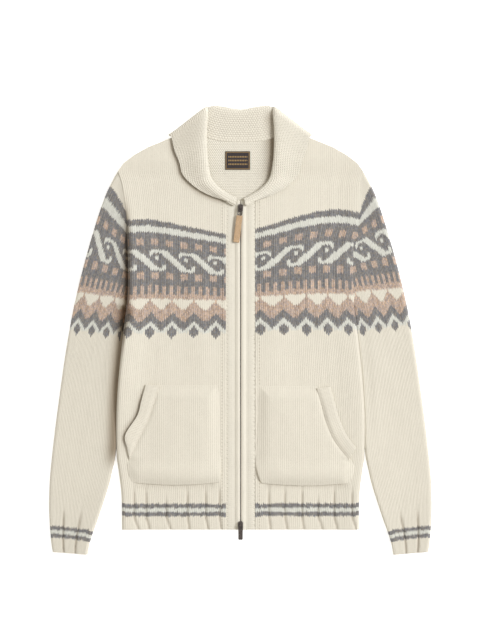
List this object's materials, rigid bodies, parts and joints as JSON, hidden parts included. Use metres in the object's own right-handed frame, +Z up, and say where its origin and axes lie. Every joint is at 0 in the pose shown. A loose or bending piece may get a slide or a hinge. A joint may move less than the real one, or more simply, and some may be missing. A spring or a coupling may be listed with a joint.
{
  "type": "fair isle zip cardigan",
  "caption": "Chunky wool cardigan with a zip front, shawl collar, rib-banded pockets and a fair isle yoke band, laid flat.",
  "frame": {"origin": "middle of the underside of the cardigan, laid flat on its back", "axes": "+Y from the hem towards the neck, +Z up away from the surface it lies on, +X towards the wearer's left side"},
  "size_m": [0.6688, 0.784, 0.0213],
  "materials": {
    "wool": "chunky wool knit, cream with grey, rose and white pattern yarns",
    "woven_label": "dark brown woven ribbon with a plain border",
    "zip_metal": "dark gunmetal plating, satin",
    "leather": "tan, lightly grained, matt"
  },
  "bodies": {
    "garment": {"front_right": "wool", "front_left": "wool", "back": "wool", "sleeve_right": "wool", "sleeve_left": "wool", "collar": "wool", "zip_band_right": "wool", "zip_band_left": "wool", "pocket_right": "wool", "pocket_left": "wool", "pocket_band_right": "wool", "pocket_band_left": "wool", "neck_label": "woven_label", "zip_chain": "zip_metal", "zip_slider_upper": "zip_metal", "zip_slider_lower": "zip_metal"},
    "upper_pull": {"zip_pull_link": "zip_metal", "zip_pull_leather": "leather"},
    "lower_pull": {"zip_pull_lower": "zip_metal"}
  },
  "joints": [
    {"name": "upper_pull_hinge", "type": "hinge", "parent": "garment", "child": "upper_pull", "pos_m": [0, 0.21302, 0.0146], "axis": [-1, 0, 0], "range_deg": [0, 150]},
    {"name": "lower_pull_hinge", "type": "hinge", "parent": "garment", "child": "lower_pull", "pos_m": [0, -0.33998, 0.0146], "axis": [-1, 0, 0], "range_deg": [0, 150]}
  ]
}
